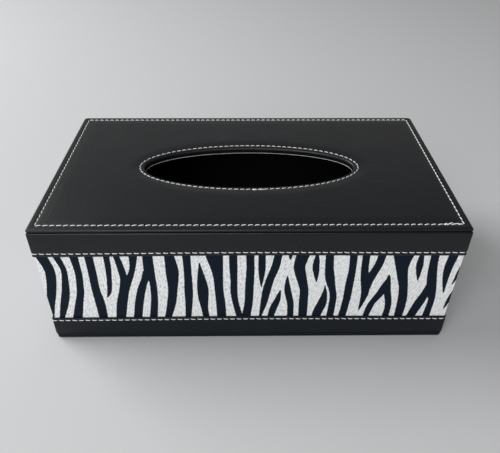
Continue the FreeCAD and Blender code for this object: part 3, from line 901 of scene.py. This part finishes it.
class TISSUE_OT_wall_bands(bpy.types.Operator):
    """Sweep the two black bands round the walls"""

    bl_idname = "tissue_cover.wall_bands"
    bl_label = "Wall bands"

    def execute(self, context):
        sizes = context.scene.cover_sizes
        spacing = 8 * MM
        tree = band_tree()
        plan = plan_loop(0, 0, sizes.corner_radius, spacing, corner_steps=8)
        upper_bow, lower_bow = band_bows(sizes)
        # The lower band takes the darker copy of the sheet, whose lost sheen is painted shade near the
        # table.
        leather, low_shaded_sheet = finish(black_leatherette), finish(low_shaded_leatherette)

        lip, top = UPPER_LOW.z, UPPER_HIGH.z - sizes.band_drop
        under_panel = PANEL_LOW + sizes.panel_rise
        upper = [
            (0, lip, sizes.band_lip_radius),
            *self.drawn_in(UPPER_SEAM, sizes),
            (0, top, sizes.band_top_radius),
            (sizes.slot, top, 0),
            (sizes.slot, under_panel, 0),
            (BOARD_FACE, under_panel, 0),
            (BOARD_FACE, PRINT_HIGH.z, 0),
            (PRINT_FACE, PRINT_HIGH.z, 0),
            (PRINT_FACE, lip, 0),
        ]
        mesh = self.sweep(tree, "upper_band_leather", (plan, True), upper, upper_bow, leather)
        # The second material is painted shade: dead matt black on the faces deep in the slot, so the slot
        # reads as a black line.
        mesh.materials.append(finish(slot_shade_black))
        for face in mesh.polygons:
            depth = min(HALF_LENGTH - abs(face.center.x), HALF_DEPTH - abs(face.center.y))
            if depth > sizes.inked:
                face.material_index = 1
        place_piece("upper_band_leather", mesh, ["upper_band"])

        lip = LOWER_HIGH.z
        lower = [
            (0, LOWER_LOW.z, sizes.band_foot_radius),
            *self.drawn_in(LOWER_SEAM, sizes),
            (0, lip, sizes.band_lip_radius),
            (PRINT_FACE, lip, 0),
            (PRINT_FACE, PRINT_LOW.z, 0),
            (BOARD_FACE, PRINT_LOW.z, 0),
            (BOARD_FACE, LOWER_LOW.z, 0),
        ]
        run = (self.open_run(plan), False)
        mesh = self.sweep(tree, "lower_band_leather", run, lower, lower_bow, low_shaded_sheet)
        corners = [(BOARD_FACE, LOWER_LOW.z), (CAVITY_FACE, LOWER_LOW.z)]
        corners += [(CAVITY_FACE, BOARD_LOW.z), (BOARD_FACE, BOARD_LOW.z)]
        loops = [plan_loop(*place, sizes.tight_radius, spacing) for place in corners]
        turn_in = skin_over("turn_in", loops)
        turn_in.materials.append(low_shaded_sheet)
        lower_band = joined("lower_band_leather", mesh, turn_in)
        place_piece("lower_band_leather", lower_band, ["lower_band"])
        return {"FINISHED"}

    def drawn_in(self, mark, sizes):
        """Corners of a section where the seam over its mark draws the leather in."""
        seam, dip = mark + sizes.seam_lift, 1.0 * MM
        return [(0, seam - dip, 2 * dip), (sizes.band_groove, seam, dip), (0, seam + dip, 2 * dip)]

    def open_run(self, plan):
        """The plan's points round the walls, from one end of the hinge to the other."""
        clearance, hair = 0.2 * MM, 0.001 * MM
        gap = STRIP_HIGH.x + clearance
        count = len(plan)
        back = [i for i in range(count) if plan[i][1] > HALF_DEPTH - hair and abs(plan[i][0]) < gap]
        start, end = max(back), min(back)
        around = [plan[(start + 1 + i) % count] for i in range(count - (start - end) - 1)]
        return [(-gap, HALF_DEPTH, 0)] + around + [(gap, HALF_DEPTH, 0)]

    def sweep(self, tree, name, run, corners, bow, material):
        """Mesh of a band along its run. Its section is given as inset, height and radius."""
        section = [(-inset, -height, 0) for inset, height in rounded(corners)]
        path = path_object(name + "_path", [run])
        outline = path_object(name + "_section", [(section, True)])
        values = {"Path": path, "Section": outline, "Leatherette": material, **bow}
        return grow(name, tree, values, [path, outline])


class TISSUE_OT_zebra_band(bpy.types.Operator):
    """Make the print band and lay its zebra stripes"""

    bl_idname = "tissue_cover.zebra_band"
    bl_label = "Zebra band"

    def execute(self, context):
        sizes, cover = context.scene.print_sizes, context.scene.cover_sizes
        radius = max(cover.corner_radius - PRINT_FACE, cover.tight_radius)
        face = plan_loop(PRINT_FACE, 0, radius, sizes.cell)
        back = plan_loop(BOARD_FACE, 0, cover.tight_radius, sizes.cell)
        heights = steps_between(PRINT_LOW.z, PRINT_HIGH.z, sizes.row)
        loops = [[(x, y, z) for x, y, _ in face] for z in heights]
        loops += [[(x, y, z) for x, y, _ in back] for z in (heights[-1], heights[0])]
        mesh = skin_over("zebra_print", loops)

        runs = [math.dist(p, q) for p, q in zip(face, face[1:] + face[:1])]
        along = np.concatenate([[0], np.cumsum(runs)[:-1]])
        corner = math.pi / 2 * radius
        middle = 2 * corner + 2 * (HALF_DEPTH - PRINT_FACE - radius) + HALF_LENGTH - PRINT_FACE - radius
        along -= middle
        repeat = sum(runs) / sizes.repeats
        strokes = self.stroke_points(sizes)
        columns = [self.distance(place, np.array(heights) - sizes.rise, strokes, repeat) for place in along]
        stripe = np.concatenate([np.array(columns).T.ravel(), np.zeros(2 * len(face))])
        mesh.attributes.new("stripe", "FLOAT", "POINT").data.foreach_set("value", stripe.astype(np.float32))
        levels = heights + [heights[-1], heights[0]]
        places = [(place, level, 0) for level in levels for place in along]
        wall = np.array(places, np.float32).ravel()
        mesh.attributes.new("wall_place", "FLOAT_VECTOR", "POINT").data.foreach_set("vector", wall)
        finishes = [finish(zebra_leatherette, sizes)]
        place_piece("zebra_print", mesh, ["print_band"], finishes)
        return {"FINISHED"}

    def stroke_points(self, sizes):
        """Closely spaced points (along, height, half width) on the strokes, in smooth curves."""
        steps, least_width = 30, 0.1 * MM
        dense = []
        for stroke in ZEBRA_STROKES:
            knots = np.array([stroke[0], *stroke, stroke[-1]]) * MM
            for before, start, end, after in zip(knots, knots[1:], knots[2:], knots[3:]):
                for t in np.linspace(0, 1, steps, endpoint=False):
                    curve = 2 * start + (end - before) * t
                    curve = curve + (2 * before - 5 * start + 4 * end - after) * t**2
                    curve = curve + (3 * start - before - 3 * end + after) * t**3
                    dense.append(curve / 2)
            dense.append(knots[-1])
        dense = np.array(dense) * (sizes.scale, 1, 1)
        dense[:, 2] = np.maximum(dense[:, 2], least_width) / 2 + sizes.ink_spread
        return dense

    def distance(self, place, heights, strokes, repeat):
        """Distance of each height at one place from the nearest stripe, less than zero inside it."""
        farthest = 25 * MM
        offset = (strokes[:, 0] - place + repeat / 2) % repeat - repeat / 2
        near = np.abs(offset) < farthest
        reach = np.hypot(offset[near, None], strokes[near, 1, None] - heights[None, :])
        return (reach - strokes[near, 2, None]).min(axis=0)


class TISSUE_OT_seams(bpy.types.Operator):
    """Sew the four seams"""

    bl_idname = "tissue_cover.seams"
    bl_label = "Seams"

    def execute(self, context):
        sizes, cover = context.scene.seam_sizes, context.scene.cover_sizes
        tree = seam_tree()
        inset = TOP_SEAM_INSET + cover.top_seam_shift
        x, y = HALF_LENGTH - inset, HALF_DEPTH - inset
        level = border_height(inset, cover)
        corners = [(-x, -y, level), (x, -y, level), (x, y, level), (-x, y, level)]
        sides = [([p, q], False) for p, q in zip(corners, corners[1:] + corners[:1])]
        # The top seam ends in two more rows of stitches beside the front right corner
        start, tack_steps = x - sizes.tack_start, 6
        shares = [i / tack_steps for i in range(tack_steps + 1)]
        for row, sway in enumerate((sizes.tack_sway, sizes.tack_sway / 3)):
            shift = start + row * sizes.top_pitch / 2
            places = [(shift + sizes.tack_length * t, sway * math.sin(math.pi * t) - y) for t in shares]
            sides.append(([(*place, level) for place in places], False))
        seam = ("top_seam_stitches", "top_seam_thread")
        self.sew(tree, *seam, sides, sizes.top_pitch, sizes.top_slant, sizes)

        level = collar_height(cover.mouth_seam_inset, cover)
        oval = self.oval_run(0, 360, -cover.mouth_draw, level, steps=240)
        rim = [(oval[:-1], True)]
        # The mouth's seam ends in two short rows beside it, just right of the mouth's front middle
        for start, end, apart_share in ((270.9, 274.1, 1.0), (274.5, 277.6, 0.6)):
            beside = sizes.thread * apart_share
            rim.append((self.oval_run(start, end, beside - cover.mouth_draw, level, steps=12), False))
        seam = ("mouth_seam_stitches", "mouth_seam_thread")
        self.sew(tree, *seam, rim, sizes.mouth_pitch, sizes.mouth_slant, sizes, thread=sizes.mouth_thread)

        upper_bow, lower_bow = band_bows(cover)
        for name, node, height, bow in (
            ("upper_seam_stitches", "upper_seam_thread", UPPER_SEAM, upper_bow),
            ("lower_seam_stitches", "lower_seam_thread", LOWER_SEAM, lower_bow),
        ):
            inset, spacing = cover.band_groove, 2 * MM
            radius = cover.corner_radius - inset
            walls = plan_loop(inset, height + cover.seam_lift, radius, spacing, corner_steps=8)
            self.sew(tree, name, node, [(walls, True)], sizes.band_pitch, sizes.band_slant, sizes, bow)
        return {"FINISHED"}

    def oval_run(self, start, end, growth, height, steps):
        """Points along the mouth's seam between two angles in degrees."""
        angles = [math.radians(start + (end - start) * i / steps) for i in range(steps + 1)]
        long, short = MOUTH_SEAM_LONG + growth, MOUTH_SEAM_SHORT + growth
        return [(long * math.cos(a), MOUTH_MIDDLE + short * math.sin(a), height) for a in angles]

    def sew(self, tree, name, node, runs, pitch, slant, sizes, bow=None, thread=None):
        """One seam along its runs of points. One that bows with a band stands on the walls."""
        path = path_object(name + "_path", runs)
        values = {
            "Path": path,
            "Pitch": pitch,
            "Stitch share": sizes.stitch_share,
            "Thread width": thread or sizes.thread,
            "Slant": slant,
            "Stray": sizes.stray,
            "Rise": sizes.rise,
            "Sink": sizes.sink,
            "Twist": sizes.twist,
            "Lies flat": bow is None,
            "Seed": sizes.seed,
            "Thread": finish(white_thread),
            **(bow or {"Bow": 0.0, "Still": 0.0, "Sewn": 0.0}),
        }
        place_piece(name, grow(name, tree, values, [path]), [node], sharp=70)


class TISSUE_OT_base_flap(bpy.types.Operator):
    """Make the base flap's leather tray"""

    bl_idname = "tissue_cover.base_flap"
    bl_label = "Base flap"

    def execute(self, context):
        sizes = context.scene.cover_sizes
        spacing = 3 * MM
        edge, shoulder, face = sizes.base_edge_radius, sizes.base_shoulder, sizes.base_inset
        section = [(BASE_BOARD_FACE, BASE_BOARD_LOW.z), (BASE_BOARD_FACE, BASE_HIGH.z)]
        section += arc((face + shoulder, BASE_HIGH.z - shoulder), shoulder, 90, 180, steps=5)
        section += arc((face + edge, edge), edge, 180, 270, steps=8)
        loops = []
        for inset, height in section:
            radius = max(sizes.base_corner - inset, sizes.tight_radius)
            plan = plan_loop(inset, height, radius, spacing)
            loops.append([(x, min(y, BASE_HIGH.y), z) for x, y, z in plan])
        tray = skin_over("base_flap_leather", loops, ring=False)
        # The flap takes the darkest copy of the sheet, whose lost sheen is painted shade by the table.
        finishes = [finish(flap_shaded_leatherette)]
        nodes = ["base_cover"]
        place_piece("base_flap_leather", tray, nodes, finishes, body="base_flap")
        return {"FINISHED"}


class TISSUE_OT_hinge(bpy.types.Operator):
    """Make the leather hinge, with its crease"""

    bl_idname = "tissue_cover.hinge"
    bl_label = "Leather hinge"

    def execute(self, context):
        sizes = context.scene.cover_sizes
        face, board = STRIP_HIGH.y, STRIP_LOW.y
        inner = face - BASE_FACE
        # Spacing of points up and along the strip, and how far the close ones reach over the crease
        fine, spacing, reach = 0.25 * MM, 6 * MM, 2 * MM
        crease, lip, top = sizes.crease_radius, sizes.band_lip_radius, STRIP_HIGH.z
        outside = [(face, z) for z in steps_between(STRIP_LOW.z, HINGE.z - crease, fine)[1:-1]]
        outside += arc((face, HINGE.z), crease, 270, 90, steps=8)
        outside += [(face, z) for z in steps_between(HINGE.z + crease, HINGE.z + reach, fine)[1:]]
        outside += arc((face - lip, top - lip), lip, 0, 90, steps=4)
        inside = [(face - PRINT_FACE, top), (face - PRINT_FACE, PRINT_LOW.z), (board, PRINT_LOW.z)]
        inside += [(board, LOWER_LOW.z)]
        inside += [(inner, z) for z in steps_between(LOWER_LOW.z, STRIP_LOW.z, fine)]
        section = inside + outside
        stations = steps_between(STRIP_LOW.x, STRIP_HIGH.x, spacing)
        loops = [[(x, y, z) for y, z in section] for x in stations]
        strip = skin_over("hinge_leather", loops, ring=False)
        # The hinge takes the same darker copy of the sheet, whose lost sheen is painted shade near the
        # table.
        finishes = [finish(low_shaded_leatherette)]
        nodes = ["hinge_strip"]
        piece = place_piece("hinge_leather", strip, nodes, finishes, body=None)
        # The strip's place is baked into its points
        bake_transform(piece)
        return {"FINISHED"}


class TISSUE_OT_carcass(bpy.types.Operator):
    """Finish the boards, linings and magnets"""

    bl_idname = "tissue_cover.carcass"
    bl_label = "Boards, linings and magnets"

    def execute(self, context):
        walls = ("front", "back", "left", "right")
        made_of = {
            fibreboard: ["top_board", "base_board"] + [wall + "_board" for wall in walls],
            black_flannel: ["base_lining"] + [wall + "_lining" for wall in walls],
            nickel_plate: ["wall_magnets", "flap_magnets"],
        }
        for maker, nodes in made_of.items():
            for node in nodes:
                mesh = frame["nodes"][node].data
                mesh.materials.clear()
                mesh.materials.append(finish(maker))
        return {"FINISHED"}


class TISSUE_OT_stage(bpy.types.Operator):
    """Set the pale floor, the soft light and the camera"""

    bl_idname = "tissue_cover.stage"
    bl_label = "Stage"

    def execute(self, context):
        scene = context.scene
        settings = scene.stage_settings
        reach = settings.floor_reach
        mesh = bpy.data.meshes.new("studio_floor")
        corners = [(-reach, -reach, 0), (reach, -reach, 0), (reach, reach, 0), (-reach, reach, 0)]
        mesh.from_pydata(corners, [], [(0, 1, 2, 3)])
        mesh.materials.append(finish(studio_floor))
        floor = bpy.data.objects.new("studio_floor", mesh)
        scene.collection.objects.link(floor)

        # Power, place, and width and height of each light, in watts and metres
        lights = {
            "key_light": (settings.key_power, (-1.15, 0.4, 0.95), (1.0, 1.0)),
            "back_card": (settings.back_power, (-0.45, 1.3, 0.45), (3.0, 0.9)),
            "fill_light": (settings.fill_power, (-0.5, -1.25, 1.0), (1.2, 1.2)),
        }
        for name, (power, place, spread) in lights.items():
            self.soft_light(name, power, place, spread)
        world = bpy.data.worlds.new("Studio light")
        world.use_nodes = True
        tree = world.node_tree
        tree.nodes.clear()
        sky = add_node(tree, "ShaderNodeBackground", {"Color": (1, 1, 1, 1), "Strength": settings.sky})
        add_node(tree, "ShaderNodeOutputWorld", {"Surface": sky})
        scene.world = world
        scene.view_settings.view_transform = "Standard"

        lens = bpy.data.cameras.new("photo_camera")
        lens.sensor_fit = "HORIZONTAL"
        lens.sensor_width = settings.camera_sensor
        lens.lens = settings.camera_lens
        camera = bpy.data.objects.new("photo_camera", lens)
        camera.location = settings.camera_place
        camera.rotation_euler = settings.camera_turn
        scene.collection.objects.link(camera)
        scene.camera = camera
        return {"FINISHED"}

    def soft_light(self, name, power, place, spread):
        """Area light of a width and a height that faces the cover."""
        lamp = bpy.data.lights.new(name, "AREA")
        lamp.energy = power
        lamp.shape = "RECTANGLE"
        lamp.size, lamp.size_y = spread
        light = bpy.data.objects.new(name, lamp)
        light.location = place
        light.rotation_euler = (-Vector(place)).to_track_quat("-Z", "Y").to_euler()
        bpy.context.scene.collection.objects.link(light)


class TISSUE_PT_panel(bpy.types.Panel):
    """Tissue box cover"""

    bl_idname = "TISSUE_PT_panel"
    bl_label = "Tissue box cover"
    bl_space_type = "VIEW_3D"
    bl_region_type = "UI"
    bl_category = "Tissue cover"

    def draw(self, context):
        for operator in OPERATORS:
            self.layout.operator(operator.bl_idname)
        for name, group in GROUPS.items():
            box = self.layout.box()
            box.label(text=group.__doc__)
            for prop in group.__annotations__:
                box.prop(getattr(context.scene, name), prop)


GROUPS = {
    "cover_sizes": CoverSizes,
    "seam_sizes": SeamSizes,
    "print_sizes": PrintSizes,
    "cover_finishes": Finishes,
    "stage_settings": StageSettings,
}

OPERATORS = (
    TISSUE_OT_top_panel,
    TISSUE_OT_wall_bands,
    TISSUE_OT_zebra_band,
    TISSUE_OT_seams,
    TISSUE_OT_base_flap,
    TISSUE_OT_hinge,
    TISSUE_OT_carcass,
    TISSUE_OT_stage,
)


def register():
    for group in GROUPS.values():
        bpy.utils.register_class(group)
    for name, group in GROUPS.items():
        setattr(bpy.types.Scene, name, PointerProperty(type=group))
    for operator in OPERATORS:
        bpy.utils.register_class(operator)
    bpy.utils.register_class(TISSUE_PT_panel)


def unregister():
    bpy.utils.unregister_class(TISSUE_PT_panel)
    for operator in reversed(OPERATORS):
        bpy.utils.unregister_class(operator)
    for name in GROUPS:
        delattr(bpy.types.Scene, name)
    for group in reversed(list(GROUPS.values())):
        bpy.utils.unregister_class(group)


def main():
    register()
    for operator in OPERATORS:
        group, name = operator.bl_idname.split(".")
        getattr(getattr(bpy.ops, group), name)()


if __name__ == "__main__":
    main()
